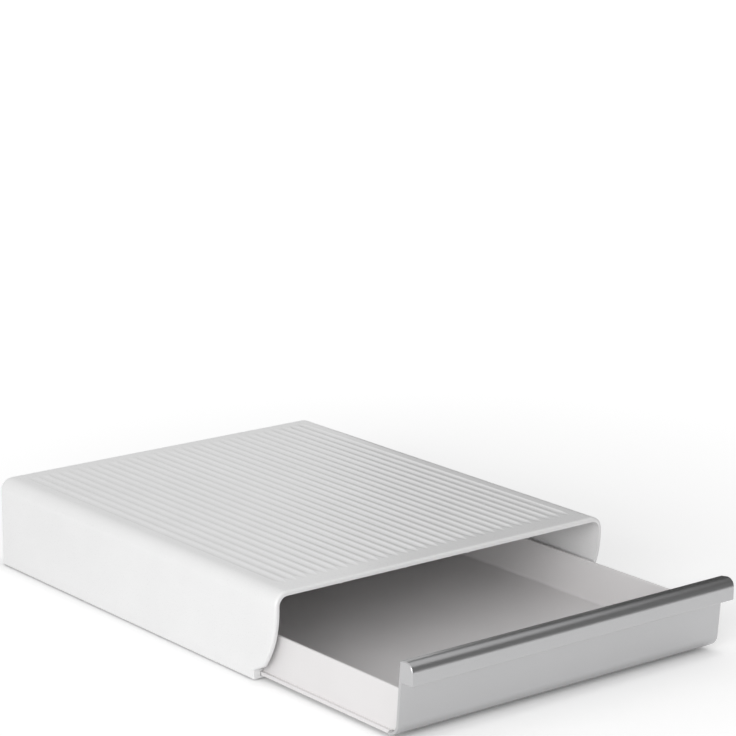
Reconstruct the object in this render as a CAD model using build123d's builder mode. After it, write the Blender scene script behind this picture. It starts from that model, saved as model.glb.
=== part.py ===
"""Coffee pod drawer: a flat moulded housing with a grooved deck, and a shallow tray that slides
out of its front on two side runners.

Millimetres. X is across, Y runs from front (minus) to back (plus), Z is up from the counter.
The origin is on the counter, at the middle of the whole object as it stands with the tray part
way out. A point (y, z) in an outline below is a place in the side view.
"""

import os
from math import asin, cos, degrees, radians, tan

from build123d import *

# ---- The grid of round cells that the tray is sized for: each tapers down from a wide rim ----
cell_pitch = 51.3  # from one rim to the next
cell_columns = 5  # across
cell_rows = 6  # from front to back
cell_height = 44.5  # from the tray's floor to the rim
cell_waist = 42.4  # width of a cell level with the top of the tray wall
side_play = 0.3  # free room at each side of a row
end_play = 0.5  # free room in front of the first rims and behind the last

# ---- How far the tray moves ----
open_at_rest = 115.0  # how far the tray is out as the object is stored
full_travel = 230.0  # from shut to the stops
slide_gap = 0.3  # tray above its runner, and each stop before it touches
side_gap = 0.5  # tray flange to the web of its runner
fit_gap = 0.2  # between fixed pieces that fit together

# ---- Tray ----
tray_wall = 2.0
tray_floor = 2.2
tray_depth = 29.2  # from its underside to the top of its walls
tray_corner = 5.0  # outer radius of the two back corners
tray_cove = 1.6  # inner radius along the floor
tray_edge = 0.7  # rounding along the top of the walls
flange_width = 2.0  # the edge of the floor that runs in the runner

# ---- Front panel, with a hooded pull along its top ----
panel_wall = 2.1
panel_overlap = 1.6  # panel beyond the tray's flange at each end
face_proud = 0.3  # shut, the face stands this far in front of the deck
face_lean = 4.9  # degrees that the face leans forward
face_round = 9.0  # radius of the face's tucked-in lower edge
hem_length = 1.0  # straight end of the panel under the tray
lip_reach = 10.5  # pull in front of the face
lip_drop = 13.3  # from the back edge of the pull down to its hem
lip_rise = 1.6  # how much the top of the pull climbs towards its front
lip_round = 5.5  # radius where the top of the pull turns down
panel_cover = 1.5  # top of the panel above the rims
cheek = 2.2  # end wall of the pull
hem_edge = 0.9  # rounding of the free edges of the panel, seen from the side
panel_edge = 0.8  # rounding around the panel's two ends

# ---- Housing ----
wall = 3.0
deck = 3.0
head_room = 9.7  # from the rims to the underside of the deck
top_corner = 9.0  # outer radius along both sides of the deck
back_edge = 8.0  # rounding around the back
front_edge = 1.8  # rounding around the front opening
side_curve = 64.0  # radius of the side walls' front edge
side_straight = 11.2  # from the top down to where that curve starts
heel_rise = 4.6  # height of the slanted heel under the curve
heel_inset = 22.8  # front end of the runner behind the front of the deck
deck_rib = 1.8  # stiffening ribs under the deck, between the columns of cells
deck_rib_drop = 4.0
deck_rib_inset = 9.0  # from the front edge of the deck

# ---- Grooves along the deck ----
groove_pitch = 8.0
groove_width = 6.6
groove_depth = 0.6
groove_count = 30
groove_front = 13.0  # from the front edge of the deck
groove_back = 12.0  # from the back of the deck
groove_fade = 9.0  # length over which a groove runs out at each end

# ---- Runners and feet ----
foot_lift = 1.0  # pads below the runners
foot_sink = 0.5  # pads let into the runners
foot_radius = 5.0
foot_inset = 7.5  # pad centre from the side of the housing
foot_front = 25.0  # pad centre behind the front end of the runner
foot_back = 30.0  # pad centre before the back
runner_ledge = 1.5
runner_reach = 15.0  # from the side of the housing to the free edge of the ledge
runner_web = 5.1
runner_hook = 1.8  # the hook over the flange
hook_thickness = 1.2
hook_gap = 0.5  # above the flange
runner_edge = 0.5

# ---- Stops ----
stop_height = 8.0
stop_length = 5.0  # along the slide
lug_reach = 2.8  # lug on the housing, inwards
tab_gap = 1.1  # tab on the tray to the housing's wall
lug_inset = 33.0  # front of the lug behind the front of the deck
stop_drop = 4.0  # top of the stops below the top of the tray wall
bumper_radius = 4.0
bumper_length = 8.0
bumper_level = 20.0
bumper_edge = 1.2

# ---- Screws ----
screw_bite = 0.1  # thread into its pilot hole
runner_screw_radius = 1.1
runner_screw_head = 1.9
runner_screw_length = 12.0
runner_screw_count = 4  # in each runner
runner_screw_inset = 9.0  # first and last screw from the ends of the runner
pad_length = 9.0  # thick place in the side wall round each screw
pad_height = 10.0
pad_thickness = 1.8
panel_screw_radius = 1.45
panel_screw_head = 2.7
panel_screw_head_height = 1.9
panel_screw_level = 11.5  # above the tray's underside
tip_length = 1.5
recess_width = 0.7  # cross recess in the screw heads
recess_share = 0.62  # how much of the head the recess spans
hole_play = 0.15
boss_radius = 3.5
boss_end = 0.8  # blind end of the boss before the panel's wall
tongue_width = 12.0
tongue_thickness = 2.2
tongue_height = 19.0
tongue_round = 3.0

# ---- Levels ----
runner_bottom = foot_lift
ledge_top = runner_bottom + runner_ledge
drawer_bottom = ledge_top + slide_gap
floor_top = drawer_bottom + tray_floor
tray_top = drawer_bottom + tray_depth
rim_level = floor_top + cell_height
deck_under = rim_level + head_room
housing_top = deck_under + deck
hook_under = floor_top + hook_gap
runner_top = hook_under + hook_thickness
panel_top = rim_level + panel_cover
lip_bottom = panel_top - lip_drop
stop_top = tray_top - stop_drop

# ---- Widths, each from the middle to one side ----
tray_inner = ((cell_columns - 1) * cell_pitch + cell_waist) / 2 + side_play
tray_outer = tray_inner + tray_wall
flange_outer = tray_outer + flange_width
web_inner = flange_outer + side_gap
housing_half = web_inner + runner_web
housing_inner = housing_half - wall
panel_half = flange_outer + panel_overlap
tab_outer = housing_inner - tab_gap
ledge_inner = housing_half - runner_reach
screw_line = housing_half - (wall + pad_thickness) / 2

# ---- Places along the slide, measured back from the front edge of the deck with the tray shut ----
back_of_face = (panel_wall + fit_gap) / cos(radians(face_lean))
rims_front = -face_proud - (rim_level - lip_bottom) * tan(radians(face_lean)) + back_of_face
tray_inner_back = rims_front + end_play + cell_rows * cell_pitch + end_play
tray_back_shut = tray_inner_back + tray_wall
housing_depth = tray_back_shut + slide_gap + bumper_length + wall
lug_back = lug_inset + stop_length
tab_front_shut = lug_back + slide_gap + full_travel

# ---- The same places in the frame of the object ----
overall_length = housing_depth + open_at_rest + face_proud + lip_reach
deck_front = overall_length / 2 - housing_depth
housing_back = overall_length / 2
drawer_front = deck_front - open_at_rest
face_y = drawer_front - face_proud
lip_front = face_y - lip_reach
tray_back = drawer_front + tray_back_shut
tab_front = drawer_front + tab_front_shut
heel_y = deck_front + heel_inset
corner_angle = radians(90 + face_lean)


def face_at(level, inset=0.0):
    """Where the leaning face, or a surface behind it by inset, is at a level."""
    lean = radians(face_lean)
    return face_y - (level - lip_bottom) * tan(lean) + inset / cos(lean)


hem_end = face_at(drawer_bottom) + face_round / tan(corner_angle / 2) + hem_length
tray_front = hem_end + fit_gap
column_gaps = [(i - (cell_columns - 2) / 2) * cell_pitch for i in range(cell_columns - 1)]
runner_screw_first = heel_y + runner_screw_inset
runner_screw_pitch = (housing_back - runner_screw_inset - runner_screw_first) / (
    runner_screw_count - 1
)
runner_screw_places = [
    runner_screw_first + i * runner_screw_pitch for i in range(runner_screw_count)
]
foot_places = {"front": heel_y + foot_front, "back": housing_back - foot_back}
sides = {"left": -1, "right": 1}
panel_screw_z = drawer_bottom + panel_screw_level
tongue_back = tray_front + tongue_thickness
panel_screw_tip = face_at(panel_screw_z, panel_wall) + boss_end
near = 0.01  # edges this close to a level or a place are picked as lying on it


def grooves():
    """The long cutters for the deck, each a round bar that thins out at both ends."""
    bar = ((groove_width / 2) ** 2 + groove_depth**2) / (2 * groove_depth)
    start = deck_front + groove_front
    end = housing_back - groove_back
    centre = housing_top + bar - groove_depth
    thin = bar - groove_depth
    with BuildSketch(Plane.XY.offset(centre), mode=Mode.PRIVATE) as half:
        with BuildLine():
            Polyline(
                (0, start),
                (thin, start),
                (bar, start + groove_fade),
                (bar, end - groove_fade),
                (thin, end),
                (0, end),
                close=True,
            )
        make_face()
    cutter = revolve(half.sketch, axis=Axis((0, 0, centre), (0, 1, 0)), mode=Mode.PRIVATE)
    first = -(groove_count - 1) / 2 * groove_pitch
    with Locations(*[(first + i * groove_pitch, 0, 0) for i in range(groove_count)]):
        add(cutter, mode=Mode.SUBTRACT)


with BuildPart() as hollow:
    # The room for the tray inside the housing, open to the front and below.
    with BuildSketch(Plane.XZ.offset(-(housing_back - wall))):
        with BuildLine():
            FilletPolyline(
                (-housing_inner, 0),
                (housing_inner, 0),
                (housing_inner, deck_under),
                (-housing_inner, deck_under),
                radius=[0, 0, top_corner - wall, top_corner - wall],
                close=True,
            )
        make_face()
    extrude(amount=housing_depth)
    far_ring = hollow.edges().group_by(Axis.Y)[-1]
    fillet(far_ring.filter_by(lambda e: e.center().Z > near), back_edge - wall)

with BuildPart() as housing:
    # Outer block: two side walls, the deck and the back.
    with BuildSketch(Plane.XZ.offset(-housing_back)):
        with BuildLine():
            FilletPolyline(
                (-housing_half, runner_top),
                (housing_half, runner_top),
                (housing_half, housing_top),
                (-housing_half, housing_top),
                radius=[0, 0, top_corner, top_corner],
                close=True,
            )
        make_face()
    extrude(amount=housing_depth)
    # Seen from the side, the front edge of each wall curves back to a slanted heel.
    curve_top = housing_top - side_straight
    curve_drop = curve_top - runner_top - heel_rise
    with BuildSketch(Plane.YZ.offset(-housing_half)):
        with BuildLine():
            curve = JernArc(
                (deck_front, curve_top), (0, -1), side_curve, degrees(asin(curve_drop / side_curve))
            )
            Polyline(
                curve @ 1,
                (heel_y, runner_top),
                (housing_back, runner_top),
                (housing_back, housing_top),
                (deck_front, housing_top),
                (deck_front, curve_top),
            )
        make_face()
    extrude(amount=2 * housing_half, mode=Mode.INTERSECT)
    back_ring = housing.edges().filter_by_position(Axis.Y, housing_back - near, housing_back + near)
    fillet(back_ring.filter_by(lambda e: e.center().Z > runner_top + near), back_edge)
    add(hollow.part, mode=Mode.SUBTRACT)
    front_ring = housing.edges().filter_by(
        lambda e: e.center().Y < heel_y - near
        and (e.center().Z > housing_top - near or abs(e.center().X) > housing_inner + near)
        and e.length < 2 * housing_half
        and e.center().Z > runner_top + near
    )
    fillet(front_ring, front_edge)
    # The back wall reaches down between the runners.
    with BuildSketch(Plane.XY.offset(ledge_top)):
        with Locations((0, housing_back - wall)):
            Rectangle(2 * (ledge_inner - fit_gap), wall, align=(Align.CENTER, Align.MIN))
    extrude(amount=runner_top + wall - ledge_top)
    # Ribs under the deck, each between two columns of cells.
    with BuildSketch(Plane.XY.offset(deck_under - deck_rib_drop)):
        with Locations(*[(x, deck_front + deck_rib_inset) for x in column_gaps]):
            Rectangle(
                deck_rib,
                housing_depth - deck_rib_inset - wall,
                align=(Align.CENTER, Align.MIN),
            )
    extrude(amount=deck_rib_drop)
    # Stop lugs near the front, and a thick place in the wall over each runner screw.
    for side in sides.values():
        with BuildSketch(Plane.XY.offset(stop_top - stop_height)):
            with Locations((side * (housing_inner - lug_reach / 2), deck_front + lug_inset)):
                Rectangle(lug_reach, stop_length, align=(Align.CENTER, Align.MIN))
        extrude(amount=stop_height)
        with BuildSketch(Plane.XY.offset(runner_top)):
            with Locations(
                *[(side * (housing_inner - pad_thickness / 2), y) for y in runner_screw_places]
            ):
                Rectangle(pad_thickness, pad_length)
        extrude(amount=pad_height)
        with BuildSketch(Plane.XY.offset(runner_top)):
            with Locations(*[(side * screw_line, y) for y in runner_screw_places]):
                Circle(runner_screw_radius - screw_bite)
        extrude(amount=pad_height - tip_length, mode=Mode.SUBTRACT)
    grooves()

runners = {}
for hand, side in sides.items():
    with BuildPart() as runner:
        with BuildSketch(Plane.XZ.offset(-housing_back)):
            with BuildLine():
                FilletPolyline(
                    (side * housing_half, runner_bottom),
                    (side * ledge_inner, runner_bottom),
                    (side * ledge_inner, ledge_top),
                    (side * web_inner, ledge_top),
                    (side * web_inner, hook_under),
                    (side * (web_inner - runner_hook), hook_under),
                    (side * (web_inner - runner_hook), runner_top),
                    (side * housing_half, runner_top),
                    radius=[runner_edge, runner_edge, runner_edge, 0, 0, 0, 0, 0],
                    close=True,
                )
            make_face()
        extrude(amount=housing_back - heel_y)
        # In plan its outer corners follow the rounded corners of the housing.
        with BuildSketch(Plane.XY):
            with BuildLine():
                FilletPolyline(
                    (side * housing_half, heel_y),
                    (side * ledge_inner, heel_y),
                    (side * ledge_inner, housing_back),
                    (side * housing_half, housing_back),
                    radius=[runner_edge, runner_edge, 0, back_edge],
                    close=True,
                )
            make_face()
        extrude(amount=runner_top, mode=Mode.INTERSECT)
        below = [
            Plane(origin=(side * screw_line, y, runner_bottom), z_dir=(0, 0, -1))
            for y in runner_screw_places
        ]
        with Locations(*below):
            CounterSinkHole(
                runner_screw_radius + hole_play,
                runner_screw_head + hole_play,
                depth=runner_top,
                counter_sink_angle=90,
            )
        with BuildSketch(Plane.XY.offset(runner_bottom)):
            with Locations(*[(side * (housing_half - foot_inset), y) for y in foot_places.values()]):
                Circle(foot_radius + fit_gap)
        extrude(amount=foot_sink, mode=Mode.SUBTRACT)
    runners[hand] = runner.part

with BuildPart() as runner_screws:
    head_depth = runner_screw_head - runner_screw_radius
    tip = runner_bottom + runner_screw_length
    slot = 2 * runner_screw_head * recess_share
    for side in sides.values():
        for y in runner_screw_places:
            with BuildSketch(Plane.XZ.offset(-y)):
                with BuildLine():
                    Polyline(
                        (side * screw_line, runner_bottom),
                        (side * screw_line + runner_screw_head, runner_bottom),
                        (side * screw_line + runner_screw_radius, runner_bottom + head_depth),
                        (side * screw_line + runner_screw_radius, tip - tip_length),
                        (side * screw_line, tip),
                        close=True,
                    )
                make_face()
            revolve(axis=Axis((side * screw_line, y, 0), (0, 0, 1)))
            with Locations((side * screw_line, y, runner_bottom)):
                Box(slot, recess_width, 2 * recess_width, mode=Mode.SUBTRACT)
                Box(recess_width, slot, 2 * recess_width, mode=Mode.SUBTRACT)

feet = {}
for end, y in foot_places.items():
    for hand, side in sides.items():
        with BuildPart() as foot:
            with BuildSketch():
                with Locations((side * (housing_half - foot_inset), y)):
                    Circle(foot_radius)
            extrude(amount=foot_lift + foot_sink)
            chamfer(foot.edges().sort_by(Axis.Z)[0], foot_sink / 2)
        feet[end + "_" + hand] = foot.part

bumpers = {}
for hand, side in sides.items():
    with BuildPart() as bumper:
        with BuildSketch(Plane.XZ.offset(-(housing_back - wall))):
            with Locations((side * column_gaps[-1], bumper_level)):
                Circle(bumper_radius)
        extrude(amount=bumper_length)
        fillet(bumper.edges().sort_by(Axis.Y)[0], bumper_edge)
    bumpers[hand] = bumper.part

with BuildPart() as tray:
    behind = panel_wall + fit_gap
    hem_top = drawer_bottom + behind
    # Side view of the tray: its front follows the back of the panel.
    with BuildSketch(Plane.YZ.offset(-tray_outer)):
        with BuildLine():
            FilletPolyline(
                (tray_back, drawer_bottom),
                (tray_front, drawer_bottom),
                (tray_front, hem_top),
                (face_at(hem_top, behind), hem_top),
                (face_at(tray_top, behind), tray_top),
                (tray_back, tray_top),
                radius=[0, 0, 0, face_round - behind, 0, 0],
                close=True,
            )
        make_face()
    extrude(amount=2 * tray_outer)
    fillet(tray.edges().filter_by(Axis.Z).sort_by(Axis.Y)[-2:], tray_corner)
    # The trough, with a cove along both walls and along the back.
    trough_back = tray_back - tray_wall
    with BuildSketch(Plane.XZ.offset(-trough_back)):
        with BuildLine():
            FilletPolyline(
                (-tray_inner, floor_top),
                (tray_inner, floor_top),
                (tray_inner, tray_top + tray_wall),
                (-tray_inner, tray_top + tray_wall),
                radius=[tray_cove, tray_cove, 0, 0],
                close=True,
            )
        make_face()
    extrude(amount=trough_back - lip_front, mode=Mode.SUBTRACT)
    inside = tray.edges().filter_by_position(Axis.Y, trough_back - near, trough_back + near)
    fillet(inside.filter_by(lambda e: e.center().Z < tray_top - near), tray_cove)
    rim = tray.edges().filter_by_position(Axis.Z, tray_top - near, tray_top + near)
    fillet(rim.filter_by(lambda e: e.center().Y > face_at(tray_top, behind) + near), tray_edge)
    # Flanges that run in the runners.
    for side in sides.values():
        with BuildSketch(Plane.XY.offset(drawer_bottom)):
            with Locations((side * tray_outer, tray_front)):
                Rectangle(
                    2 * flange_width,
                    tray_back - tray_corner - tray_front,
                    align=(Align.CENTER, Align.MIN),
                )
        extrude(amount=tray_floor)
        # Stop tab, with a slanted back so that it snaps in past its lug.
        with BuildSketch(Plane.XY.offset(stop_top - stop_height)):
            with BuildLine():
                Polyline(
                    (side * tray_inner, tab_front),
                    (side * tab_outer, tab_front),
                    (side * tab_outer, tab_front + stop_length / 2),
                    (side * tray_outer, tab_front + 2 * stop_length),
                    (side * tray_inner, tab_front + 2 * stop_length),
                    close=True,
                )
            make_face()
        extrude(amount=stop_height)
    # Tongues that stand between the columns of cells and take the panel's screws.
    with BuildSketch(Plane.XZ.offset(-tongue_back)):
        with Locations(*[(x, drawer_bottom) for x in column_gaps]):
            Rectangle(tongue_width, tongue_height, align=(Align.CENTER, Align.MIN))
        fillet(vertices().group_by(Axis.Y)[-1], tongue_round)
        with Locations(*[(x, panel_screw_z) for x in column_gaps]):
            Circle(panel_screw_radius + hole_play, mode=Mode.SUBTRACT)
    extrude(amount=tongue_thickness)

with BuildPart() as front_panel:
    # Side view of the panel: a leaning face that turns under the tray, and a hood for the fingers.
    hood_corner = (lip_front + panel_wall, panel_top + lip_rise - panel_wall)
    hood_root = (face_at(panel_top - panel_wall), panel_top - panel_wall)
    with BuildSketch(Plane.YZ.offset(-panel_half)):
        with BuildLine():
            FilletPolyline(
                (hem_end, drawer_bottom),
                (face_at(drawer_bottom), drawer_bottom),
                hood_root,
                hood_corner,
                (lip_front + panel_wall, lip_bottom),
                (lip_front, lip_bottom),
                (lip_front, panel_top + lip_rise),
                (face_at(panel_top, panel_wall), panel_top),
                (
                    face_at(drawer_bottom + panel_wall, panel_wall),
                    drawer_bottom + panel_wall,
                ),
                (hem_end, drawer_bottom + panel_wall),
                radius=[
                    hem_edge,
                    face_round,
                    panel_wall,
                    lip_round - panel_wall,
                    hem_edge,
                    panel_wall / 2,
                    lip_round,
                    panel_wall / 2,
                    face_round - panel_wall,
                    hem_edge,
                ],
                close=True,
            )
        make_face()
    extrude(amount=2 * panel_half)
    # Cheeks close the hood at both ends.
    for plane in (Plane.YZ.offset(-panel_half), Plane.YZ.offset(panel_half - cheek)):
        with BuildSketch(plane):
            with BuildLine():
                FilletPolyline(
                    (lip_front, lip_bottom),
                    (face_at(lip_bottom, panel_wall / 2), lip_bottom),
                    (face_at(panel_top - panel_wall, panel_wall / 2), panel_top - panel_wall),
                    (lip_front, panel_top + lip_rise - panel_wall / 2),
                    radius=[panel_wall / 2, 0, 0, lip_round - panel_wall / 2],
                    close=True,
                )
            make_face()
        extrude(amount=cheek)
    ends = front_panel.edges().filter_by(lambda e: abs(e.center().X) > panel_half - near)
    fillet(ends, panel_edge)
    # Bosses behind the face for the screws.
    with BuildSketch(Plane.XZ.offset(-tray_front)):
        with Locations(*[(x, panel_screw_z) for x in column_gaps]):
            Circle(boss_radius)
    extrude(amount=tray_front - face_at(panel_screw_z, panel_wall / 2))
    with BuildSketch(Plane.XZ.offset(-tray_front)):
        with Locations(*[(x, panel_screw_z) for x in column_gaps]):
            Circle(panel_screw_radius - screw_bite)
    extrude(amount=tray_front - panel_screw_tip, mode=Mode.SUBTRACT)

with BuildPart() as panel_screws:
    # Pan heads inside the tray, shanks through the tongues into the bosses.
    slot = 2 * panel_screw_head * recess_share
    for x in column_gaps:
        with BuildSketch(Plane.XY.offset(panel_screw_z)):
            with BuildLine():
                FilletPolyline(
                    (x, tongue_back + panel_screw_head_height),
                    (x + panel_screw_head, tongue_back + panel_screw_head_height),
                    (x + panel_screw_head, tongue_back),
                    (x + panel_screw_radius, tongue_back),
                    (x + panel_screw_radius, panel_screw_tip + tip_length),
                    (x, panel_screw_tip),
                    radius=[0, panel_screw_head_height / 2, 0, 0, 0, 0],
                    close=True,
                )
            make_face()
        revolve(axis=Axis((x, 0, panel_screw_z), (0, 1, 0)))
        with Locations((x, tongue_back + panel_screw_head_height, panel_screw_z)):
            Box(slot, panel_screw_head_height, recess_width, mode=Mode.SUBTRACT)
            Box(recess_width, panel_screw_head_height, slot, mode=Mode.SUBTRACT)

pieces = {
    "housing": housing.part,
    "left_runner": runners["left"],
    "right_runner": runners["right"],
    "runner_screws": runner_screws.part,
    "foot_front_left": feet["front_left"],
    "foot_front_right": feet["front_right"],
    "foot_back_left": feet["back_left"],
    "foot_back_right": feet["back_right"],
    "left_bumper": bumpers["left"],
    "right_bumper": bumpers["right"],
    "tray": tray.part,
    "front_panel": front_panel.part,
    "panel_screws": panel_screws.part,
}

os.makedirs("parts", exist_ok=True)
for name, piece in pieces.items():
    piece.label = name
    export_step(piece, f"parts/{name}.step")

print(f"housing {2 * housing_half:.1f} wide, {housing_depth:.1f} deep, {housing_top:.1f} high")
print(f"origin to front of deck {deck_front:.2f}, to back {housing_back:.2f}")
print(f"travel from rest: {open_at_rest:.0f} in, {full_travel - open_at_rest:.0f} out")
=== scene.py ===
"""Coffee pod drawer: the finish of a moulded countertop housing with a grooved deck and of the
silver-fronted tray that slides out of it, on a pale studio floor.

Metres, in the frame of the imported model. X is across, Y runs from front to back, Z is up.
"""

import math

import bpy
import numpy as np
from mathutils import Matrix, Vector


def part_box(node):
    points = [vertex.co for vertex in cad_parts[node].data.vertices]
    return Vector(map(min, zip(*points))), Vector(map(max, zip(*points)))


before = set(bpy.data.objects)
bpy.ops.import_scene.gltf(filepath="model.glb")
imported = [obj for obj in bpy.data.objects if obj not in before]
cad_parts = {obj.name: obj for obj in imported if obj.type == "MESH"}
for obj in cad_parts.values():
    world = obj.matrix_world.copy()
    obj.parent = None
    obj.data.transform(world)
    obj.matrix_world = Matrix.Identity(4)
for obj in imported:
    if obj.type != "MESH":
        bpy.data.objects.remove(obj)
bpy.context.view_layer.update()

bl_info = {
    "name": "Coffee Pod Drawer",
    "version": (1, 0, 0),
    "blender": (4, 5, 0),
    "location": "View3D > Sidebar > Pod Drawer",
    "description": "Finishes a countertop pod drawer and sets it on a studio floor",
    "category": "Object",
}

MM = 0.001
deck_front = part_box("housing")[0].y  # front edge of the deck, which the camera is set from


# ---- Colours and nodes ----


def linear(hex_colour):
    """An sRGB hex value, such as #C0C0C0, as linear red, green and blue."""
    srgb = np.array([int(hex_colour[i : i + 2], 16) for i in (1, 3, 5)]) / 255
    curved = np.where(srgb <= 0.04045, srgb / 12.92, ((srgb + 0.055) / 1.055) ** 2.4)
    return tuple(float(c) for c in curved)


def per_metre(millimetres):
    """The scale of a noise whose features are this far apart on the real surface."""
    return 1 / (millimetres * MM)


def add_node(tree, kind, inputs=None, **settings):
    """Adds a node with its settings. An input is a value, or an output to link from."""
    made = tree.nodes.new(kind)
    for name, value in settings.items():
        setattr(made, name, value)
    for name, value in (inputs or {}).items():
        if isinstance(value, bpy.types.NodeSocket):
            tree.links.new(value, made.inputs[name])
        else:
            made.inputs[name].default_value = value
    return made


def new_material(name):
    """An empty node material, its tree, its output and the piece's own coordinates."""
    material = bpy.data.materials.new(name)
    material.use_nodes = True
    tree = material.node_tree
    tree.nodes.clear()
    output = add_node(tree, "ShaderNodeOutputMaterial")
    place = add_node(tree, "ShaderNodeTexCoord").outputs["Object"]
    return material, tree, output, place


# ---- Materials ----

USUAL_LOW, USUAL_HIGH = 0.25, 0.75  # a noise runs from 0 to 1, but mostly keeps between these
FIRST_COLOUR, SECOND_COLOUR, MIXED_COLOUR = 6, 7, 2  # the colour sockets of a Mix node


def moulded_abs(name, colour, gloss_low, gloss_high, grain_mm, grain_height_mm):
    """Injection-moulded ABS. The mould's finish shows as a fine grain that varies the gloss, and
    slow changes of the wall as faint differences in shade, so a flat wall isn't dead even. Real
    grain is under 0.1 mm, and is drawn several times as coarse."""
    material, tree, output, place = new_material(name)
    wall_mm, shaded = 45, 0.965
    wall = add_node(
        tree, "ShaderNodeTexNoise", {"Vector": place, "Scale": per_metre(wall_mm), "Detail": 3}
    )
    cloud = add_node(
        tree,
        "ShaderNodeMapRange",
        {"Value": wall.outputs["Fac"], "From Min": USUAL_LOW, "From Max": USUAL_HIGH},
    )
    shade = tuple(c * shaded for c in colour)
    tint = add_node(
        tree,
        "ShaderNodeMix",
        {
            "Factor": cloud.outputs["Result"],
            FIRST_COLOUR: (*shade, 1),
            SECOND_COLOUR: (*colour, 1),
        },
        data_type="RGBA",
    )
    grain = add_node(
        tree,
        "ShaderNodeTexNoise",
        {"Vector": place, "Scale": per_metre(grain_mm), "Roughness": 0.6},
    )
    gloss = add_node(
        tree,
        "ShaderNodeMapRange",
        {
            "Value": grain.outputs["Fac"],
            "From Min": USUAL_LOW,
            "From Max": USUAL_HIGH,
            "To Min": gloss_low,
            "To Max": gloss_high,
        },
    )
    bump = add_node(
        tree,
        "ShaderNodeBump",
        {"Height": grain.outputs["Fac"], "Distance": grain_height_mm * MM, "Strength": 0.6},
    )
    shader = add_node(
        tree,
        "ShaderNodeBsdfPrincipled",
        {
            "Base Color": tint.outputs[MIXED_COLOUR],
            "Roughness": gloss.outputs["Result"],
            "IOR": 1.54,
            "Normal": bump.outputs["Normal"],
        },
    )
    tree.links.new(shader.outputs["BSDF"], output.inputs["Surface"])
    return material


def silver_painted_abs(name, colour):
    """ABS with a sprayed silver paint: fine metal flakes under a satin lacquer, which sparkle a
    little and spread each highlight, and a very shallow orange peel. Real flakes are under
    0.05 mm, and are drawn at 0.35 mm."""
    material, tree, output, place = new_material(name)
    flake_mm, cloud_mm, peel_mm, peel_height_mm, shaded = 0.35, 60, 1.6, 0.003, 0.96
    flakes = add_node(
        tree, "ShaderNodeTexVoronoi", {"Vector": place, "Scale": per_metre(flake_mm)}
    )
    flake = add_node(
        tree, "ShaderNodeSeparateColor", {"Color": flakes.outputs["Color"]}
    ).outputs["Red"]
    cloud = add_node(
        tree, "ShaderNodeTexNoise", {"Vector": place, "Scale": per_metre(cloud_mm)}
    ).outputs["Fac"]
    shares = [
        add_node(
            tree,
            "ShaderNodeMapRange",
            {"Value": value, "From Min": USUAL_LOW, "From Max": USUAL_HIGH, "To Max": 0.5},
        ).outputs["Result"]
        for value in (cloud, flake)
    ]
    both = add_node(tree, "ShaderNodeMath", dict(enumerate(shares)), operation="ADD")
    shade = tuple(c * shaded for c in colour)
    tint = add_node(
        tree,
        "ShaderNodeMix",
        {"Factor": both.outputs[0], FIRST_COLOUR: (*shade, 1), SECOND_COLOUR: (*colour, 1)},
        data_type="RGBA",
    )
    gloss = add_node(
        tree,
        "ShaderNodeMapRange",
        {
            "Value": flake,
            "From Min": USUAL_LOW,
            "From Max": USUAL_HIGH,
            "To Min": 0.29,
            "To Max": 0.32,
        },
    )
    peel = add_node(tree, "ShaderNodeTexNoise", {"Vector": place, "Scale": per_metre(peel_mm)})
    bump = add_node(
        tree,
        "ShaderNodeBump",
        {"Height": peel.outputs["Fac"], "Distance": peel_height_mm * MM, "Strength": 0.5},
    )
    shader = add_node(
        tree,
        "ShaderNodeBsdfPrincipled",
        {
            "Base Color": tint.outputs[MIXED_COLOUR],
            "Metallic": 0.9,
            "Roughness": gloss.outputs["Result"],
            "Coat Weight": 0.3,
            "Coat Roughness": 0.1,
            "Normal": bump.outputs["Normal"],
        },
    )
    tree.links.new(shader.outputs["BSDF"], output.inputs["Surface"])
    return material


def moulded_elastomer(name, colour):
    """Moulded rubber-like elastomer: dark and matte, with a fine blasted texture."""
    material, tree, output, place = new_material(name)
    grain_mm, grain_height_mm, lit = 0.4, 0.05, 1.35
    grain = add_node(
        tree, "ShaderNodeTexNoise", {"Vector": place, "Scale": per_metre(grain_mm), "Detail": 3}
    ).outputs["Fac"]
    lighter = tuple(min(1, c * lit) for c in colour)
    tint = add_node(
        tree,
        "ShaderNodeMix",
        {"Factor": grain, FIRST_COLOUR: (*colour, 1), SECOND_COLOUR: (*lighter, 1)},
        data_type="RGBA",
    )
    gloss = add_node(
        tree,
        "ShaderNodeMapRange",
        {
            "Value": grain,
            "From Min": USUAL_LOW,
            "From Max": USUAL_HIGH,
            "To Min": 0.72,
            "To Max": 0.88,
        },
    )
    bump = add_node(
        tree,
        "ShaderNodeBump",
        {"Height": grain, "Distance": grain_height_mm * MM, "Strength": 0.8},
    )
    shader = add_node(
        tree,
        "ShaderNodeBsdfPrincipled",
        {
            "Base Color": tint.outputs[MIXED_COLOUR],
            "Roughness": gloss.outputs["Result"],
            "IOR": 1.5,
            "Normal": bump.outputs["Normal"],
        },
    )
    tree.links.new(shader.outputs["BSDF"], output.inputs["Surface"])
    return material


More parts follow.
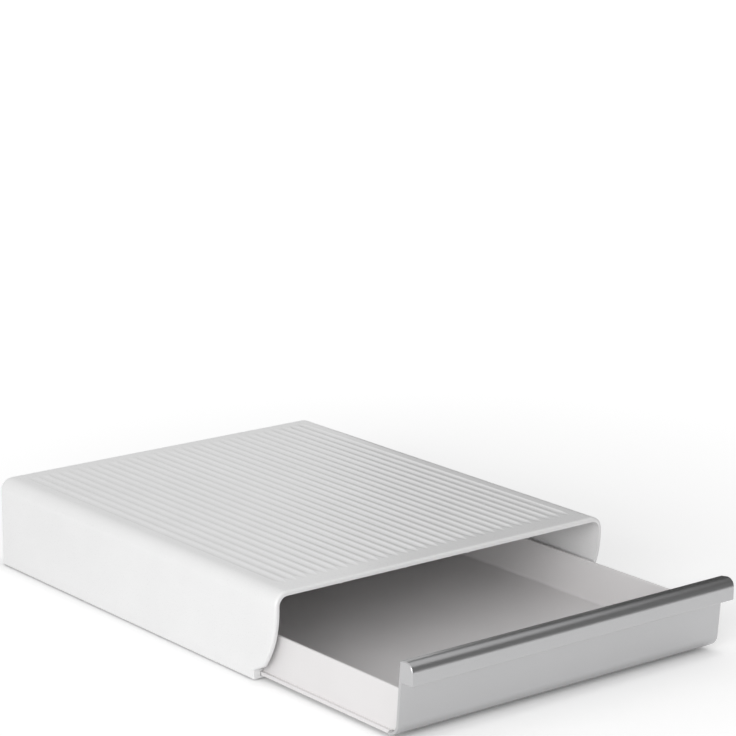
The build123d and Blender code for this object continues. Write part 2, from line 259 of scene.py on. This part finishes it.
def zinc_plated_steel(name, colour):
    """Zinc-plated steel: a bright metal, which the passivated zinc makes slightly cloudy."""
    material, tree, output, place = new_material(name)
    cloud_mm, shaded = 1.2, 0.8
    zinc = add_node(
        tree, "ShaderNodeTexNoise", {"Vector": place, "Scale": per_metre(cloud_mm), "Detail": 3}
    ).outputs["Fac"]
    cloud = add_node(
        tree,
        "ShaderNodeMapRange",
        {"Value": zinc, "From Min": USUAL_LOW, "From Max": USUAL_HIGH},
    )
    shade = tuple(c * shaded for c in colour)
    tint = add_node(
        tree,
        "ShaderNodeMix",
        {
            "Factor": cloud.outputs["Result"],
            FIRST_COLOUR: (*shade, 1),
            SECOND_COLOUR: (*colour, 1),
        },
        data_type="RGBA",
    )
    gloss = add_node(
        tree,
        "ShaderNodeMapRange",
        {
            "Value": zinc,
            "From Min": USUAL_LOW,
            "From Max": USUAL_HIGH,
            "To Min": 0.24,
            "To Max": 0.4,
        },
    )
    shader = add_node(
        tree,
        "ShaderNodeBsdfPrincipled",
        {
            "Base Color": tint.outputs[MIXED_COLOUR],
            "Metallic": 1.0,
            "Roughness": gloss.outputs["Result"],
        },
    )
    tree.links.new(shader.outputs["BSDF"], output.inputs["Surface"])
    return material


def finish_node(names, material):
    """Gives CAD nodes their finished material in place of the plain one."""
    for name in names:
        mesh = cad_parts[name].data
        mesh.materials.clear()
        mesh.materials.append(material)


# ---- What a user would change ----


class PodDrawerFinish(bpy.types.PropertyGroup):
    """Colours of the object's finishes."""

    housing_white: bpy.props.FloatVectorProperty(
        name="Housing white",
        description="Colour of the moulded housing and runners",
        subtype="COLOR",
        size=3,
        min=0,
        max=1,
        default=linear("#EFEFEF"),
    )
    tray_white: bpy.props.FloatVectorProperty(
        name="Tray white",
        description="Colour of the moulded tray, a little warmer than the housing",
        subtype="COLOR",
        size=3,
        min=0,
        max=1,
        default=linear("#E6E4E4"),
    )
    panel_silver: bpy.props.FloatVectorProperty(
        name="Panel silver",
        description="Colour of the silver paint on the front panel",
        subtype="COLOR",
        size=3,
        min=0,
        max=1,
        default=linear("#C3C3C4"),
    )
    elastomer_grey: bpy.props.FloatVectorProperty(
        name="Elastomer grey",
        description="Colour of the feet and of the buffers behind the tray",
        subtype="COLOR",
        size=3,
        min=0,
        max=1,
        default=linear("#3E3F41"),
    )
    zinc_grey: bpy.props.FloatVectorProperty(
        name="Zinc grey",
        description="Colour of the plated screws",
        subtype="COLOR",
        size=3,
        min=0,
        max=1,
        default=linear("#C3C6CA"),
    )


class PodDrawerStage(bpy.types.PropertyGroup):
    """Camera, floor and lamps."""

    azimuth: bpy.props.FloatProperty(
        name="Azimuth",
        description="Where the camera stands round the object, from straight in front",
        subtype="ANGLE",
        default=math.radians(-38.283),
    )
    elevation: bpy.props.FloatProperty(
        name="Elevation",
        description="How far the camera looks down",
        subtype="ANGLE",
        default=math.radians(13.760),
    )
    roll: bpy.props.FloatProperty(
        name="Roll",
        description="How far the camera is turned about its own axis",
        subtype="ANGLE",
        default=math.radians(0.16),
    )
    distance: bpy.props.FloatProperty(
        name="Distance",
        description="From the camera to the point that it looks at",
        unit="LENGTH",
        default=1.7135,
    )
    lens: bpy.props.FloatProperty(
        name="Lens",
        description="Focal length in millimetres on a sensor 36 mm wide",
        default=138.43,
    )
    aim: bpy.props.FloatVectorProperty(
        name="Aim",
        description="The point that the camera looks at, from the middle of the deck's front edge",
        subtype="XYZ",
        unit="LENGTH",
        size=3,
        default=(-0.0632, 0.0, 0.1915),
    )
    floor_radius: bpy.props.FloatProperty(
        name="Floor radius",
        description="Radius of the round floor",
        unit="LENGTH",
        default=8.0,
    )
    floor_white: bpy.props.FloatVectorProperty(
        name="Floor white",
        description="Colour of the floor",
        subtype="COLOR",
        size=3,
        min=0,
        max=1,
        default=linear("#EDEDED"),
    )
    sky: bpy.props.FloatProperty(
        name="Sky",
        description="Light that comes from all round, where 1 is white",
        default=0.8,
    )


# ---- Operators ----


class PODDRAWER_OT_housing(bpy.types.Operator):
    """Finish the housing and its two runners in glossy white plastic"""

    bl_idname = "pod_drawer.housing"
    bl_label = "Finish Housing"

    def execute(self, context):
        colours = context.scene.pod_drawer_finish
        white = moulded_abs(
            "polished_white_abs",
            colours.housing_white,
            gloss_low=0.27,
            gloss_high=0.29,
            grain_mm=0.8,
            grain_height_mm=0.001,
        )
        finish_node(["housing", "left_runner", "right_runner"], white)
        return {"FINISHED"}


class PODDRAWER_OT_tray(bpy.types.Operator):
    """Finish the tray in satin white plastic"""

    bl_idname = "pod_drawer.tray"
    bl_label = "Finish Tray"

    def execute(self, context):
        colours = context.scene.pod_drawer_finish
        white = moulded_abs(
            "satin_white_abs",
            colours.tray_white,
            gloss_low=0.38,
            gloss_high=0.44,
            grain_mm=0.6,
            grain_height_mm=0.004,
        )
        finish_node(["tray"], white)
        return {"FINISHED"}


class PODDRAWER_OT_front_panel(bpy.types.Operator):
    """Finish the front panel in silver paint"""

    bl_idname = "pod_drawer.front_panel"
    bl_label = "Finish Front Panel"

    def execute(self, context):
        colours = context.scene.pod_drawer_finish
        silver = silver_painted_abs("silver_painted_abs", colours.panel_silver)
        finish_node(["front_panel"], silver)
        return {"FINISHED"}


class PODDRAWER_OT_small_parts(bpy.types.Operator):
    """Finish the feet, buffers and screws"""

    bl_idname = "pod_drawer.small_parts"
    bl_label = "Finish Small Parts"

    def execute(self, context):
        colours = context.scene.pod_drawer_finish
        rubber = moulded_elastomer("moulded_grey_elastomer", colours.elastomer_grey)
        feet = [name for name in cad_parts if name.startswith("foot_")]
        finish_node([*feet, "left_bumper", "right_bumper"], rubber)
        zinc = zinc_plated_steel("zinc_plated_steel", colours.zinc_grey)
        finish_node(["runner_screws", "panel_screws"], zinc)
        return {"FINISHED"}


def disc(name, radius, rings, spokes):
    """A flat disc: radius times the ring's share along the first parameter, turned through a
    whole circle along the second."""
    share, turn = np.meshgrid(
        np.linspace(1 / rings, 1, rings), np.arange(spokes) * 2 * math.pi / spokes, indexing="ij"
    )
    x, y = radius * share * np.cos(turn), radius * share * np.sin(turn)
    points = np.stack([x, y, np.zeros_like(x)], axis=-1).reshape(-1, 3)
    points = np.vstack([points, [0, 0, 0]])
    at = np.arange(rings * spokes).reshape(rings, spokes)
    near, far = at[:-1], at[1:]
    quads = np.stack([near, far, np.roll(far, -1, 1), np.roll(near, -1, 1)], axis=-1)
    middle = np.full(spokes, len(points) - 1)
    fan = np.stack([middle, at[0], np.roll(at[0], -1)], axis=-1)
    mesh = bpy.data.meshes.new(name)
    mesh.from_pydata(points.tolist(), [], quads.reshape(-1, 4).tolist() + fan.tolist())
    made = bpy.data.objects.new(name, mesh)
    bpy.context.scene.collection.objects.link(made)
    return made


def seen_directly(tree, mirror=1.0):
    """1 on rays from the camera, another strength on those from a mirror or through glass, and 0
    on the rays that light things."""
    path = add_node(tree, "ShaderNodeLightPath").outputs
    through = add_node(
        tree,
        "ShaderNodeMath",
        {0: path["Is Glossy Ray"], 1: path["Is Transmission Ray"]},
        operation="MAXIMUM",
    )
    return add_node(
        tree,
        "ShaderNodeMath",
        {0: through.outputs[0], 1: mirror, 2: path["Is Camera Ray"]},
        operation="MULTIPLY_ADD",
    ).outputs[0]


def studio_floor(stage):
    """Pale paper floor, which keeps the object's shadow. Where it is seen it glows with a painted
    lift to white, the more so further out, held back in the narrow gap under the object's edges,
    which paints a darker contact shadow there."""
    material, tree, output, place = new_material("pale_paper_floor")
    gap = 12 * MM
    near, far, near_lift, far_lift = 0.3, 2.0, 0.3, 0.8
    paper = add_node(
        tree, "ShaderNodeBsdfDiffuse", {"Color": (*stage.floor_white, 1), "Roughness": 0.3}
    )
    away = add_node(tree, "ShaderNodeVectorMath", {0: place}, operation="LENGTH")
    # Painted lift: weaker near the object, so its shadow stays darker there, and stronger further
    # out.
    lift = add_node(
        tree,
        "ShaderNodeMapRange",
        {
            "Value": away.outputs["Value"],
            "From Min": near,
            "From Max": far,
            "To Min": near_lift,
            "To Max": far_lift,
        },
    )
    # Ambient occlusion holds the painted lift back under the object's edges: a painted contact
    # shadow.
    in_the_open = add_node(tree, "ShaderNodeAmbientOcclusion", {"Distance": gap}, samples=8)
    lift_with_painted_shadow = add_node(
        tree,
        "ShaderNodeMath",
        {0: in_the_open.outputs["AO"], 1: lift.outputs["Result"]},
        operation="MULTIPLY",
    )
    seen_lift = add_node(
        tree,
        "ShaderNodeMath",
        {0: seen_directly(tree, mirror=1.2), 1: lift_with_painted_shadow.outputs[0]},
        operation="MULTIPLY",
    )
    glow = add_node(tree, "ShaderNodeEmission", {"Strength": seen_lift.outputs[0]})
    both = add_node(
        tree, "ShaderNodeAddShader", {0: paper.outputs["BSDF"], 1: glow.outputs["Emission"]}
    )
    tree.links.new(both.outputs["Shader"], output.inputs["Surface"])
    floor = disc("floor", stage.floor_radius, rings=12, spokes=96)
    floor.data.materials.append(material)


def studio_sky(stage):
    """Even light from all round, and a white background where it is seen."""
    world = bpy.data.worlds.new("studio_sky")
    world.use_nodes = True
    tree = world.node_tree
    tree.nodes.clear()
    strength = add_node(
        tree,
        "ShaderNodeMapRange",
        {"Value": seen_directly(tree), "To Min": stage.sky, "To Max": 1.0},
    ).outputs["Result"]
    light = add_node(tree, "ShaderNodeBackground", {"Strength": strength})
    output = add_node(tree, "ShaderNodeOutputWorld")
    tree.links.new(light.outputs["Background"], output.inputs["Surface"])
    bpy.context.scene.world = world


def softbox(name, place, aim, width, height, power):
    """A rectangular lamp at a place, turned to face a point."""
    lamp = bpy.data.lights.new(name, "AREA")
    lamp.shape = "RECTANGLE"
    lamp.size, lamp.size_y = width, height
    lamp.energy = power
    made = bpy.data.objects.new(name, lamp)
    made.location = place
    made.rotation_euler = (Vector(aim) - Vector(place)).to_track_quat("-Z", "Y").to_euler()
    bpy.context.scene.collection.objects.link(made)


def reflected_flag(name, start, end, height, glow):
    """An upright card over the floor's line from start to end, which only reflections see. It
    gives glossy edges a dark side, as a studio's black flags do, and takes no light away."""
    mesh = bpy.data.meshes.new(name)
    corners = [(*start, 0), (*end, 0), (*end, height), (*start, height)]
    mesh.from_pydata(corners, [], [(0, 1, 2, 3)])
    material, tree, output, _ = new_material(f"{name}_card")
    dim_glow = add_node(tree, "ShaderNodeEmission", {"Strength": glow})
    tree.links.new(dim_glow.outputs["Emission"], output.inputs["Surface"])
    mesh.materials.append(material)
    card = bpy.data.objects.new(name, mesh)
    card.visible_camera = card.visible_diffuse = False
    card.visible_shadow = card.visible_transmission = False
    bpy.context.scene.collection.objects.link(card)


def studio_camera(stage):
    """A camera on a sphere about its aim: azimuth 0 is straight in front, and it looks down."""
    aim = Vector(stage.aim) + Vector((0, deck_front, 0))
    turn, tilt = stage.azimuth, stage.elevation
    back = Vector(
        (math.sin(turn) * math.cos(tilt), -math.cos(turn) * math.cos(tilt), math.sin(tilt))
    )
    lens = bpy.data.cameras.new("camera")
    lens.sensor_width = 36
    lens.lens = stage.lens
    lens.clip_start, lens.clip_end = 0.05, 50
    camera = bpy.data.objects.new("camera", lens)
    facing = (-back).to_track_quat("-Z", "Y").to_matrix() @ Matrix.Rotation(stage.roll, 3, "Z")
    camera.matrix_world = Matrix.Translation(aim + back * stage.distance) @ facing.to_4x4()
    bpy.context.scene.collection.objects.link(camera)
    bpy.context.scene.camera = camera


class PODDRAWER_OT_stage(bpy.types.Operator):
    """Set the floor, the sky, the lamps and the camera"""

    bl_idname = "pod_drawer.stage"
    bl_label = "Set Stage"

    def execute(self, context):
        stage = context.scene.pod_drawer_stage
        context.scene.view_settings.view_transform = "Standard"
        studio_camera(stage)
        studio_floor(stage)
        studio_sky(stage)
        softbox(
            "left_softbox",
            place=(-2.0, -1.1, 0.75),
            aim=(0, 0, 0.03),
            width=1.6,
            height=1.0,
            power=22,
        )
        softbox(
            "low_strip",
            place=(-0.85, -0.8, 0.11),
            aim=(-0.13, -0.2, 0.03),
            width=0.5,
            height=0.2,
            power=0.8,
        )
        reflected_flag("right_flag", start=(0.9, -1.5), end=(0.9, 1.1), height=1.1, glow=0.01)
        reflected_flag("front_flag", start=(-0.2, -0.45), end=(1.5, -0.45), height=0.35, glow=0.15)
        return {"FINISHED"}


class VIEW3D_PT_pod_drawer(bpy.types.Panel):
    """Lists the drawer's finishes, the stage and the steps that make them"""

    bl_label = "Pod Drawer"
    bl_space_type = "VIEW_3D"
    bl_region_type = "UI"
    bl_category = "Pod Drawer"

    def draw(self, context):
        layout = self.layout
        for group in (context.scene.pod_drawer_finish, context.scene.pod_drawer_stage):
            column = layout.column()
            for name in group.bl_rna.properties.keys():
                if name not in ("name", "rna_type"):
                    column.prop(group, name)
        for operator in OPERATORS:
            layout.operator(operator.bl_idname)


OPERATORS = (
    PODDRAWER_OT_stage,
    PODDRAWER_OT_housing,
    PODDRAWER_OT_tray,
    PODDRAWER_OT_front_panel,
    PODDRAWER_OT_small_parts,
)
CLASSES = (PodDrawerFinish, PodDrawerStage, *OPERATORS, VIEW3D_PT_pod_drawer)


def register():
    for made in CLASSES:
        bpy.utils.register_class(made)
    bpy.types.Scene.pod_drawer_finish = bpy.props.PointerProperty(type=PodDrawerFinish)
    bpy.types.Scene.pod_drawer_stage = bpy.props.PointerProperty(type=PodDrawerStage)


def unregister():
    del bpy.types.Scene.pod_drawer_stage
    del bpy.types.Scene.pod_drawer_finish
    for made in reversed(CLASSES):
        bpy.utils.unregister_class(made)


def main():
    register()
    bpy.ops.pod_drawer.stage()
    bpy.ops.pod_drawer.housing()
    bpy.ops.pod_drawer.tray()
    bpy.ops.pod_drawer.front_panel()
    bpy.ops.pod_drawer.small_parts()


if __name__ == "__main__":
    main()
